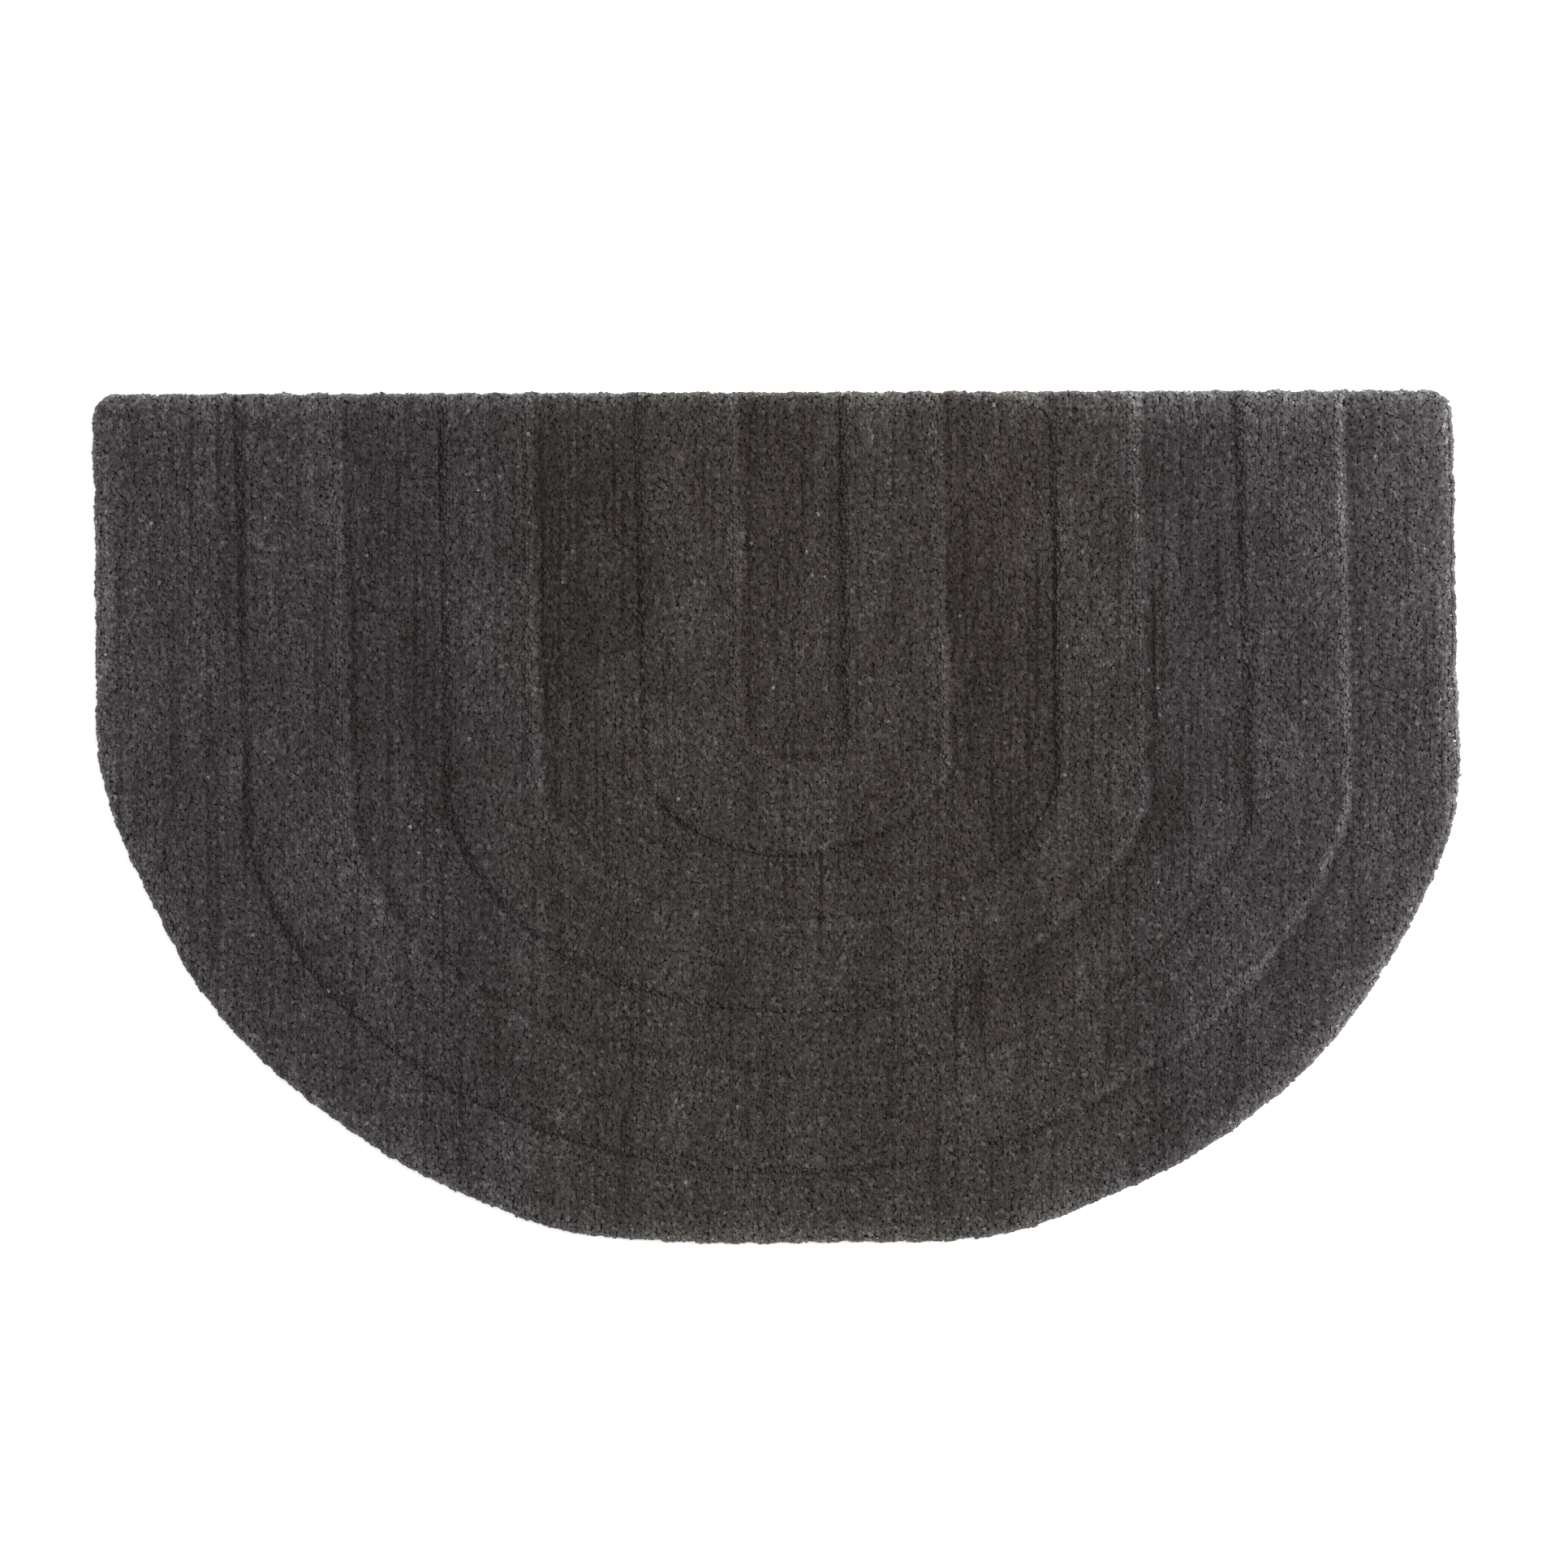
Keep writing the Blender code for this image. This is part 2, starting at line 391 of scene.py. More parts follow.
@dataclass(frozen=True)
class Waves:
    """A slow, irregular rise and fall over the rug, made of a few crossed waves."""

    lengths: tuple
    stretch: float
    seed: int

    def at(self, points: np.ndarray) -> np.ndarray:
        """Value of the waves at each point, mostly between -1 and 1.

        Args:
            points: places on the rug, a row each.

        Returns:
            One value for each point. Waves run longer along Y where stretch is over 1.
        """
        draw = np.random.default_rng(self.seed)
        total = np.zeros(len(points))
        for length in self.lengths:
            for _ in range(3):
                angle = draw.uniform(0.0, math.pi)
                phase = draw.uniform(0.0, 2 * math.pi)
                travel = points[:, 0] * math.cos(angle) + points[:, 1] * math.sin(angle) / self.stretch
                total += np.sin(2 * math.pi * travel / length + phase)
        return total / math.sqrt(1.5 * len(self.lengths)) / 1.6


@dataclass(frozen=True)
class Streaks:
    """Differences from tufting column to tufting column, each kept up over a run along Y."""

    pitch: float
    run: float
    seed: int
    pattern: tuple = (0.0,)

    def at(self, points: np.ndarray) -> np.ndarray:
        """Value of the streaks at each point, with a mean of 0 and a spread of about 1.

        Args:
            points: places on the rug, a row each.

        Returns:
            One value for each point.
        """
        draw = np.random.default_rng(self.seed)
        column = np.floor((points[:, 0] + 1.0) / self.pitch).astype(int)
        phase = draw.uniform(0.0, 1.0, column.max() + 1)
        travel = (points[:, 1] + 1.0) / self.run + phase[column]
        knot = travel.astype(int)
        share = smooth_step(travel - knot)
        values = draw.normal(0.0, 1.1, (column.max() + 1, knot.max() + 2))
        steady = np.array(self.pattern)[column % len(self.pattern)]
        return steady + values[column, knot] * (1.0 - share) + values[column, knot + 1] * share


@dataclass(frozen=True)
class TuftRows:
    """Rows of tufts across the rug, which wander a little from side to side."""

    pitch: float = 0.0044
    wander: Waves = Waves(lengths=(0.110, 0.047), stretch=1.0, seed=29)
    wander_size: float = 0.0016

    def at(self, points: np.ndarray) -> np.ndarray:
        """How near the middle of its row each point is: 1 there, -1 between two rows."""
        place = points[:, 1] + self.wander_size * self.wander.at(points)
        return np.cos(2 * math.pi * place / self.pitch)


@dataclass(frozen=True)
class BrushedPatch:
    """A place where the pile lies another way and looks lighter or darker."""

    x: float
    y: float
    reach_x: float
    reach_y: float
    lift: float

    def at(self, points: np.ndarray) -> np.ndarray:
        """How much lighter the patch makes each point."""
        off = (points - (self.x, self.y)) / (self.reach_x, self.reach_y)
        return self.lift * np.exp(-(off ** 2).sum(axis=1))


@dataclass
class Finish:
    """Shared ways to put together a finish from shader nodes."""

    name: str
    nodes: bpy.types.Nodes = field(init=False, default=None)
    links: bpy.types.NodeLinks = field(init=False, default=None)

    def start(self) -> tuple:
        """Makes the material and returns it with its Principled shader."""
        material = bpy.data.materials.new(self.name)
        material.use_nodes = True
        self.nodes = material.node_tree.nodes
        self.links = material.node_tree.links
        return material, self.nodes["Principled BSDF"]

    def value(self, name: str) -> bpy.types.NodeSocket:
        """Adds a reader of a value that the mesh keeps under a name."""
        node = self.nodes.new("ShaderNodeAttribute")
        node.attribute_name = name
        return node.outputs["Fac"]

    def noise(self, scale: tuple, detail: float, roughness: float = 0.5,
              distortion: float = 0.0) -> bpy.types.NodeSocket:
        """Adds a noise on object coordinates.

        Args:
            scale: noise cells per metre along X, Y and Z.
            detail: how many finer layers the noise has.
            roughness: how strong the finer layers are.
            distortion: how much the noise curls.

        Returns:
            The noise's value socket.
        """
        place = self.nodes.new("ShaderNodeTexCoord")
        mapping = self.nodes.new("ShaderNodeMapping")
        mapping.inputs["Scale"].default_value = scale
        noise = self.nodes.new("ShaderNodeTexNoise")
        values = {"Scale": 1.0, "Detail": detail, "Roughness": roughness, "Distortion": distortion}
        for name, value in values.items():
            noise.inputs[name].default_value = value
        self.links.new(place.outputs["Object"], mapping.inputs["Vector"])
        self.links.new(mapping.outputs["Vector"], noise.inputs["Vector"])
        return noise.outputs["Fac"]

    def math(self, operation: str, first: bpy.types.NodeSocket, *others: object) -> bpy.types.NodeSocket:
        """Adds a Math node; its further inputs may be sockets or numbers."""
        node = self.nodes.new("ShaderNodeMath")
        node.operation = operation
        self.links.new(first, node.inputs[0])
        for index, value in enumerate(others, start=1):
            if isinstance(value, bpy.types.NodeSocket):
                self.links.new(value, node.inputs[index])
            else:
                node.inputs[index].default_value = value
        return node.outputs[0]

    def ramp(self, factor: bpy.types.NodeSocket, stops: tuple) -> bpy.types.NodeSocket:
        """Adds a colour ramp with a (place, colour) pair for each stop and returns its colour."""
        node = self.nodes.new("ShaderNodeValToRGB")
        elements = node.color_ramp.elements
        while len(elements) < len(stops):
            elements.new(0.5)
        for element, (place, colour) in zip(elements, stops):
            element.position = place
            element.color = (*colour, 1.0)
        self.links.new(factor, node.inputs["Fac"])
        return node.outputs["Color"]

    def bump(self, height: bpy.types.NodeSocket, distance: float, strength: float) -> None:
        """Raises a bump from a height on the shader's normal."""
        node = self.nodes.new("ShaderNodeBump")
        node.inputs["Distance"].default_value = distance
        node.inputs["Strength"].default_value = strength
        self.links.new(height, node.inputs["Height"])
        self.links.new(node.outputs["Normal"], self.nodes["Principled BSDF"].inputs["Normal"])


@dataclass
class CutYarn(Finish):
    """Charcoal yarn: heathered, darker towards its root as painted shade, streaked along the tuft columns.
    """

    name: str = "charcoal_cut_yarn"
    darkest: tuple = (0.0084, 0.0048, 0.0044)
    dark: tuple = (0.0383, 0.0320, 0.0314)
    light: tuple = (0.1130, 0.1053, 0.1045)
    palest: tuple = (0.330, 0.322, 0.315)
    places: tuple = (0.10, 0.42, 0.72, 1.0)
    fleck_scale: tuple = (250.0, 220.0, 200.0)
    fleck_weight: float = 0.60
    fibre_scale: tuple = (1050.0, 850.0, 600.0)
    fibre_weight: float = 0.58
    # painted shade: darker towards each end's root, lighter towards its tip
    root_painted_shade: float = 0.16
    curl_scale: tuple = (310.0, 330.0, 250.0)
    curl_twist: float = 1.6
    curl_sharpness: float = 14.0
    curl_lift: float = 0.13
    mean_noise: float = 0.666
    warmth_weight: float = 0.8
    cool: tuple = (1.0, 1.0, 1.050)
    warm: tuple = (1.0, 1.0, 0.895)

    def curls(self) -> bpy.types.NodeSocket:
        """Adds thin curled lines, 1 along their middle and 0 beside them, for loose fibres."""
        noise = self.noise(self.curl_scale, 1.0, 0.5, self.curl_twist)
        off_middle = self.math("ABSOLUTE", self.math("SUBTRACT", noise, 0.5))
        line = self.math("MULTIPLY_ADD", off_middle, -self.curl_sharpness, 1.0)
        return self.math("MAXIMUM", line, 0.0)

    def make(self) -> bpy.types.Material:
        """Makes the material. It reads the yarn's tone, which carries painted light and shade, its warmth
        and its reach from the mesh.
        """
        material, shader = self.start()
        tone, warmth, reach = (self.value(name) for name in ("tone", "warmth", "reach"))
        fibres = self.noise(self.fibre_scale, 3.0, 0.6)
        value = self.math("MULTIPLY_ADD", self.noise(self.fleck_scale, 2.0), self.fleck_weight, tone)
        value = self.math("MULTIPLY_ADD", fibres, self.fibre_weight, value)
        # painted shade deeper in the pile, from the reach between root and tip
        value = self.math("MULTIPLY_ADD", reach, self.root_painted_shade, value)
        value = self.math("MULTIPLY_ADD", self.curls(), self.curl_lift, value)
        value = self.math("SUBTRACT", value, self.mean_noise)
        colours = (self.darkest, self.dark, self.light, self.palest)
        colour = self.ramp(value, tuple(zip(self.places, colours)))
        warmth = self.math("MULTIPLY", warmth, self.warmth_weight)
        tint = self.ramp(warmth, ((0.0, self.cool), (1.0, self.warm)))
        tinted = self.nodes.new("ShaderNodeVectorMath")
        tinted.operation = "MULTIPLY"
        self.links.new(colour, tinted.inputs[0])
        self.links.new(tint, tinted.inputs[1])
        self.links.new(tinted.outputs["Vector"], shader.inputs["Base Color"])
        shader.inputs["Roughness"].default_value = 0.92
        shader.inputs["Specular IOR Level"].default_value = 0.22
        shader.inputs["Sheen Weight"].default_value = 0.35
        shader.inputs["Sheen Roughness"].default_value = 0.45
        self.bump(fibres, 0.0005, 0.6)
        return material


@dataclass
class RugGround(Finish):
    """Dense dark yarn bases between the tufts."""

    name: str = "charcoal_yarn_bases"
    dark: tuple = (0.016, 0.0145, 0.0145)
    light: tuple = (0.060, 0.054, 0.053)
    grain_scale: tuple = (420.0, 420.0, 420.0)

    def make(self) -> bpy.types.Material:
        """Makes the material."""
        material, shader = self.start()
        grain = self.noise(self.grain_scale, 3.0, 0.6)
        stops = ((0.3, self.dark), (0.75, self.light))
        self.links.new(self.ramp(grain, stops), shader.inputs["Base Color"])
        shader.inputs["Roughness"].default_value = 0.95
        shader.inputs["Specular IOR Level"].default_value = 0.15
        self.bump(grain, 0.001, 0.8)
        return material


@dataclass
class WovenBack(Finish):
    """Plain woven backing cloth on the underside."""

    name: str = "charcoal_woven_back"
    warp_pitch: float = 0.0024
    weft_pitch: float = 0.0030
    gap: tuple = (0.016, 0.015, 0.0145)
    thread: tuple = (0.085, 0.079, 0.074)
    hair_scale: tuple = (900.0, 900.0, 900.0)

    def wave(self, direction: str, pitch: float) -> bpy.types.NodeSocket:
        """Adds threads that repeat along an axis at a pitch."""
        place = self.nodes.new("ShaderNodeTexCoord")
        node = self.nodes.new("ShaderNodeTexWave")
        node.bands_direction = direction
        node.inputs["Scale"].default_value = math.pi / (10.0 * pitch)
        node.inputs["Distortion"].default_value = 0.6
        node.inputs["Detail"].default_value = 1.0
        self.links.new(place.outputs["Object"], node.inputs["Vector"])
        return node.outputs["Fac"]

    def make(self) -> bpy.types.Material:
        """Makes the material."""
        material, shader = self.start()
        cloth = self.math("MULTIPLY", self.wave("X", self.warp_pitch), self.wave("Y", self.weft_pitch))
        value = self.math("MULTIPLY_ADD", self.noise(self.hair_scale, 3.0), 0.5, cloth)
        stops = ((0.25, self.gap), (1.0, self.thread))
        self.links.new(self.ramp(value, stops), shader.inputs["Base Color"])
        shader.inputs["Roughness"].default_value = 0.9
        shader.inputs["Specular IOR Level"].default_value = 0.2
        self.bump(value, 0.0006, 0.7)
        return material


@dataclass
class Ground:
    """The rug's body: one closed sheet with the relief, under and between the yarn ends."""

    relief: Relief
    below_tips: float = 0.0036
    inset_rim: float = 0.0022
    waist: float = 0.0030
    undercut: float = 0.0012
    rim_depths: tuple = (0.0, 0.0012, 0.0030, 0.0060)
    rim_drops: tuple = (0.0036, 0.0022, 0.0007, 0.0)
    line_gap: float = 0.0065
    leg_steps: int = 34
    arc_steps: int = 88
    unevenness: Waves = Waves(lengths=(0.21, 0.094), stretch=1.0, seed=3)
    unevenness_size: float = 0.0002

    def lines(self) -> list[np.ndarray]:
        """Lays out every line of the sheet from the spine to the rim, with steps kept crisp."""
        plan = self.relief.plan
        depths = [self.inset_rim + depth for depth in self.rim_depths]
        layout = (depths, self.leg_steps, self.arc_steps)
        half_step = plan.step_width / 2
        lines = [plan.line(plan.spine, *layout)]
        for step in plan.steps:
            course = plan.line(step, *layout)
            away = outward(course, len(depths))
            self.fill_to(lines, course - away * half_step)
            lines += [course, course + away * half_step]
        rim = plan.waved_rim(*layout)
        away = outward(rim, len(depths))
        for depth in sorted(self.rim_depths, reverse=True):
            line = rim - away * (depth + self.inset_rim)
            if depth == max(self.rim_depths):
                self.fill_to(lines, line)
            else:
                lines.append(line)
        return [line + self.relief.shift for line in lines]

    def fill_to(self, lines: list[np.ndarray], line: np.ndarray) -> None:
        """Adds a line, and evenly spread ones between it and the last.

        Args:
            lines: the lines so far, added to in place.
            line: the next line outwards.
        """
        widest = np.abs(line - lines[-1]).max()
        between = max(1, round(widest / self.line_gap))
        last = lines[-1]
        lines += [last + (line - last) * index / between for index in range(1, between + 1)]

    def round_corners(self, points: np.ndarray, rim: np.ndarray) -> np.ndarray:
        """Bends the square ends of the legs into the rug's rounded corners.

        Args:
            points: all the sheet's points.
            rim: the outermost line.

        Returns:
            The points with those near a corner moved.
        """
        moved = points.copy()
        radius = self.relief.plan.corner_radius - self.inset_rim
        for end in (rim[0], rim[-1]):
            side = math.copysign(1.0, end[0])
            centre = end - np.array([side * radius, radius])
            local = (points - centre) * (side, 1.0)
            near = (local > 0.0).all(axis=1)
            shrink = local[near].max(axis=1) / np.linalg.norm(local[near], axis=1)
            moved[near] = centre + local[near] * shrink[:, None] * (side, 1.0)
        return moved

    def heights(self, points: np.ndarray) -> np.ndarray:
        """Height of the sheet's upper face at each point, lower towards the rim."""
        from_step, _ = self.relief.from_step(points)
        inset, _ = self.relief.from_rim(points)
        full = self.relief.full_height(from_step) - self.below_tips
        full += self.unevenness_size * self.unevenness.at(points)
        drop = np.interp(inset - self.inset_rim, self.rim_depths, self.rim_drops)
        return np.maximum(full - drop, self.waist)

    def make(self) -> bpy.types.Object:
        """Builds the sheet.

        Returns:
            The sheet's object, with the ground finish above and the woven back below.
        """
        lines = self.lines()
        columns = len(lines[0])
        points = self.round_corners(np.concatenate(lines), lines[-1])
        heights = self.heights(points)
        mesh = bmesh.new()
        grid = bmesh.ops.create_grid(mesh, x_segments=columns - 1, y_segments=len(lines) - 1, size=1.0)
        for vertex, (x, y), z in zip(grid["verts"], points, heights):
            vertex.co = (x, y, z)
        bmesh.ops.remove_doubles(mesh, verts=mesh.verts, dist=0.00008)
        self.close_underside(mesh)
        data = bpy.data.meshes.new("rug_ground")
        mesh.to_mesh(data)
        mesh.free()
        data.shade_smooth()
        data.materials.append(RugGround().make())
        data.materials.append(WovenBack().make())
        return link("rug_ground", data)

    def close_underside(self, mesh: bmesh.types.BMesh) -> None:
        """Carries the rim down to the floor and closes the underside.

        Args:
            mesh: the sheet's upper face, finished in place.
        """
        mesh.normal_update()
        edges = [edge for edge in mesh.edges if edge.is_boundary]
        rim = bmesh.ops.extrude_edge_only(mesh, edges=edges)["geom"]
        rim_vertices = [item for item in rim if isinstance(item, bmesh.types.BMVert)]
        middle = Vector((0.0, 0.0, 0.0))
        for vertex in rim_vertices:
            inward = (middle - vertex.co).normalized()
            vertex.co += inward * self.undercut
            vertex.co.z = 0.0
        floor_edges = [edge for edge in mesh.edges if edge.is_boundary]
        bottom = bmesh.ops.contextual_create(mesh, geom=floor_edges)["faces"]
        for face in bottom:
            face.material_index = 1
        bmesh.ops.triangulate(mesh, faces=bottom)
        bmesh.ops.recalc_face_normals(mesh, faces=mesh.faces)


@dataclass
class YarnEnd:
    """One cut yarn end: it rises from a pointed root, flares to a shoulder and closes in a tip."""

    sides: int = 4
    shoulder: float = 0.90
    softness: float = 0.42
    vertices: np.ndarray = field(init=False)
    normals: np.ndarray = field(init=False)
    triangles: np.ndarray = field(init=False)
    map_places: np.ndarray = field(init=False)

    def __post_init__(self) -> None:
        """Makes the shape once, of unit radius and unit height, and keeps it as arrays."""
        mesh = bmesh.new()
        bmesh.ops.create_uvsphere(mesh, u_segments=self.sides, v_segments=2, radius=1.0)
        bmesh.ops.triangulate(mesh, faces=mesh.faces)
        for vertex in mesh.verts:
            level = round(vertex.co.z)
            vertex.co.z = {-1: 0.0, 0: self.shoulder, 1: 1.0}[level]
        mesh.verts.index_update()
        self.vertices = np.array([tuple(vertex.co) for vertex in mesh.verts])
        self.triangles = np.array([[v.index for v in face.verts] for face in mesh.faces])
        self.normals = unit(self.vertices * (self.softness, self.softness, 0.0) + (0.0, 0.0, 1.0))
        self.map_places = self.unfolded()
        mesh.free()

    def unfolded(self) -> np.ndarray:
        """Lays the faces out flat round the tip, so that no two overlap.

        Returns:
            A place in a unit square for each corner of each triangle.
        """
        angle = np.arctan2(self.vertices[:, 1], self.vertices[:, 0])
        radius = np.interp(self.vertices[:, 2], (0.0, self.shoulder, 1.0), (0.49, 0.33, 0.0))
        places = np.zeros((len(self.triangles), 3, 2))
        for row, triangle in enumerate(self.triangles):
            ring = [v for v in triangle if 0.0 < self.vertices[v, 2] < 1.0]
            middle = np.angle(np.exp(1j * angle[ring]).mean())
            for corner, v in enumerate(triangle):
                turn = angle[v] if v in ring else middle
                places[row, corner] = 0.5 + radius[v] * np.array([math.cos(turn), math.sin(turn)])
        return places


@dataclass
class YarnPlaces:
    """Where every yarn end of a stretch of pile stands, and how: one array row for each."""

    tips: np.ndarray
    axes: np.ndarray
    lengths: np.ndarray
    widths: np.ndarray
    turns: np.ndarray
    tones: np.ndarray
    zones: np.ndarray

    def pick(self, wanted: np.ndarray) -> "YarnPlaces":
        """The yarn ends that a row of true and false values picks."""
        return YarnPlaces(*(getattr(self, name)[wanted] for name in self.__dataclass_fields__))

    def joined(self, other: "YarnPlaces") -> "YarnPlaces":
        """These yarn ends and another lot as one."""
        fields = self.__dataclass_fields__
        return YarnPlaces(*(np.concatenate([getattr(self, name), getattr(other, name)]) for name in fields))


@dataclass(frozen=True)
class Carving:
    """How the pile is cut, and which way it lies, along a step between two heights.

    A raised band rolls off towards a narrow crevice. The pile lies towards +X, so it flops over
    the steps that face +X and stands steeply at those that face -X. Its tones are painted light
    and shade: a painted highlight on rolled edges that face +X, towards the key light, and painted
    shade in the crevice, below steps that face +X and above those that face -X. Distances are
    from the middle of the step, below 0 on its low side.
    """

    foot: float = -0.0038
    crown: float = 0.0062
    lay_effect: float = 0.60
    crevice_depth: float = 0.0008
    crevice_width: float = 0.0011
    # painted shade: darker tone in the crevice at the foot of each step, over the real dip there
    crevice_painted_shade: float = 0.062
    roll: float = 0.0064
    roll_width: float = 0.0036
    lean: float = 0.30
    # painted highlight: lighter tone on the rolled edge of steps that face +X, towards the key light
    roll_painted_highlight: float = 0.040
    # the painted highlight grows towards +X: where that starts, over what run, and how much stronger
    sunny_side: tuple = (0.16, 0.32, 3.4)
    # painted shade: darker tone on the raised side above steps that face -X, away from the key light
    steep_painted_shade: float = 0.030
    steep_reach: float = 0.0030
    # painted shade: darker tone on the low side below steps that face +X, under the overhanging pile
    lee_painted_shade: float = 0.085
    lee_start: float = 0.0008
    lee_reach: float = 0.0110
    # slow waves that vary the strength of the painted light and shade along the steps
    painted_light_waves: Waves = Waves(lengths=(0.31, 0.13), stretch=1.0, seed=17)
    painted_light_wave_size: float = 0.35

    def flop(self, downhill: np.ndarray) -> np.ndarray:
        """How loosely the pile hangs over a step: over 1 where it faces +X, under 1 at -X."""
        return 1.0 + self.lay_effect * downhill[:, 0]

    def rise(self, from_step: np.ndarray, downhill: np.ndarray) -> np.ndarray:
        """Share of the full rise at each place.

        Args:
            from_step: distance of each place from the middle of the nearest step.
            downhill: unit vector down that step.

        Returns:
            The shares: a round shoulder where the pile hangs over, an even slope at -X.
        """
        share = np.clip((from_step - self.foot) / (self.crown - self.foot), 0.0, 1.0)
        round_edge = np.sqrt(1.0 - (1.0 - share) ** 2)
        overhung = np.clip(0.5 + 0.5 * downhill[:, 0], 0.0, 1.0)
        return overhung * round_edge + (1.0 - overhung) * smooth_step(share)

    def crevice(self, from_step: np.ndarray) -> np.ndarray:
        """How far into the crevice at the foot of a step each place is, from 0 to 1."""
        return np.exp(-((from_step - self.foot) / self.crevice_width) ** 2)

    def rolled(self, from_step: np.ndarray) -> np.ndarray:
        """How near the rolled edge of a raised band each place is, from 0 to 1."""
        return np.exp(-((from_step - self.roll) / self.roll_width) ** 2)

    def leans(self, from_step: np.ndarray, downhill: np.ndarray) -> np.ndarray:
        """Lean of the pile down the step at each place."""
        return downhill * (self.lean * self.flop(downhill) * self.rolled(from_step))[:, None]

    def tones(self, points: np.ndarray, from_step: np.ndarray, downhill: np.ndarray) -> np.ndarray:
        """Painted highlight and shade that a step puts on each place: lighter above 0, darker below 0.

        Args:
            points: places on the rug, a row each.
            from_step: distance of each place from the middle of the nearest step.
            downhill: unit vector down that step.

        Returns:
            The differences of tone.
        """
        # painted highlight on rolled edges that face +X, stronger further towards +X
        start, run, extra = self.sunny_side
        sunny_gain = 1.0 + extra * smooth_step((points[:, 0] - start) / run)
        lit_side = np.maximum(self.flop(downhill) - 0.6, 0.0) * sunny_gain
        tone = self.roll_painted_highlight * lit_side * self.rolled(from_step)
        # painted shade below steps that face +X
        past = from_step - self.lee_start
        below = np.where(past < 0.0, np.exp(np.minimum(past, 0.0) / self.lee_reach), 0.0)
        tone -= self.lee_painted_shade * np.maximum(downhill[:, 0], 0.0) * below
        # painted shade above steps that face -X
        up = from_step - self.foot
        above = np.where(up > 0.0, np.exp(-np.maximum(up, 0.0) / self.steep_reach), 0.0)
        tone -= self.steep_painted_shade * np.maximum(-downhill[:, 0], 0.0) * above
        # painted shade in the crevice
        tone -= self.crevice_painted_shade * self.crevice(from_step)
        # the painted light and shade grow and shrink along the steps
        return tone * (1.0 + self.painted_light_wave_size * self.painted_light_waves.at(points))


@dataclass(frozen=True)
class PileTones:
    """Lightness of the yarn ends: single ends, columns, stretches and brushed places, with painted light
    along the rim and towards both sides.
    """

    base: float = 0.221
    spread: float = 0.046
    zones: tuple = (-0.034, 0.003, -0.046, 0.008, -0.026, 0.031, 0.010, 0.010)
    zone_fade: tuple = (0.06, 0.16, 0.25)
    streaks_by_zone: tuple = (1.15, 0.85, 1.35, 0.85, 1.15, 0.80, 1.0, 1.0)
    # painted light: the last few millimetres inside the rim are lighter, fading over rim_reach
    rim: float = 0.31
    rim_reach: float = 0.0084
    fine_streaks: Streaks = Streaks(pitch=0.0037, run=0.090, seed=21, pattern=(0.9, -0.6, 0.5, -0.8))
    fine_size: float = 0.050
    wide_streaks: Streaks = Streaks(pitch=0.0111, run=0.150, seed=22)
    wide_size: float = 0.014
    clumps: Streaks = Streaks(pitch=0.0046, run=0.0060, seed=24)
    clump_size: float = 0.032
    rows: TuftRows = TuftRows()
    row_size: float = 0.024
    cloud: Waves = Waves(lengths=(0.23, 0.11, 0.06), stretch=2.0, seed=11)
    cloud_size: float = 0.034
    warm_middle: tuple = (0.045, 0.22)
    warm_clouds: Waves = Waves(lengths=(0.085, 0.040), stretch=1.6, seed=19)
    warm_cloud_size: float = 0.45
    # painted light: lighter towards the left and right ends, a (lift, reach) pair for each
    left_painted_light: tuple = (0.09, 0.050)
    right_painted_light: tuple = (0.075, 0.090)
    pale_share: float = 0.0020
    patches: tuple = tuple(BrushedPatch(*row) for row in (
        (-0.234, 0.171, 0.024, 0.030, 0.075),
        (-0.142, 0.270, 0.026, 0.045, -0.080),
        (-0.150, 0.160, 0.028, 0.035, -0.075),
        (-0.066, 0.160, 0.020, 0.030, 0.060),
        (-0.106, 0.068, 0.030, 0.022, 0.055),
        (-0.098, -0.015, 0.035, 0.020, -0.070),
        (-0.360, -0.065, 0.035, 0.028, 0.070),
        (-0.275, 0.040, 0.022, 0.060, -0.055),
        (0.155, -0.150, 0.030, 0.025, -0.065),
        (-0.170, -0.072, 0.040, 0.026, -0.045),
        (0.178, 0.190, 0.030, 0.150, -0.050),
        (0.33, 0.34, 0.18, 0.02, 0.09),
        (0.50, 0.26, 0.04, 0.12, 0.08),
        (-0.20, -0.27, 0.06, 0.03, 0.08),
    ))

    def at(self, points: np.ndarray, zones: np.ndarray, inset: np.ndarray) -> np.ndarray:
        """Tone of the pile at each place, without the differences from end to end.

        Args:
            points: places on the rug, a row each.
            zones: number of the zone of each place.
            inset: distance of each place inside the rim.

        Returns:
            One tone for each place.
        """
        start, run, least = self.zone_fade
        fade = 1.0 - (1.0 - least) * smooth_step((start - points[:, 1]) / run)
        tone = self.base + np.array(self.zones)[zones] * fade
        streaks = self.wide_size * self.wide_streaks.at(points)
        streaks -= self.fine_size * (np.maximum(self.fine_streaks.at(points), 0.0) - 0.5)
        tone += streaks * np.array(self.streaks_by_zone)[zones]
        tone += self.cloud_size * self.cloud.at(points)
        tone += self.clump_size * self.clumps.at(points)
        tone += self.row_size * self.rows.at(points)
        # painted light along the rim
        tone += self.rim * np.exp(-np.maximum(inset, 0.0) / self.rim_reach)
        low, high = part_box("rug")
        # painted light towards the left and right ends
        tone += self.left_painted_light[0] * np.exp(-(points[:, 0] - low[0]) / self.left_painted_light[1])
        tone += self.right_painted_light[0] * np.exp(-(high[0] - points[:, 0]) / self.right_painted_light[1])
        return tone + sum(patch.at(points) for patch in self.patches)

    def warmth(self, points: np.ndarray) -> np.ndarray:
        """How warm the pile's hue is at each place: 0 at the sides of the rug, 1 in its middle."""
        middle, reach = self.warm_middle
        warm = np.exp(-((points[:, 0] - middle) / reach) ** 4)
        clouds = self.warm_cloud_size * self.warm_clouds.at(points)
        return np.clip(warm * (1.05 + clouds), 0.0, 1.25)


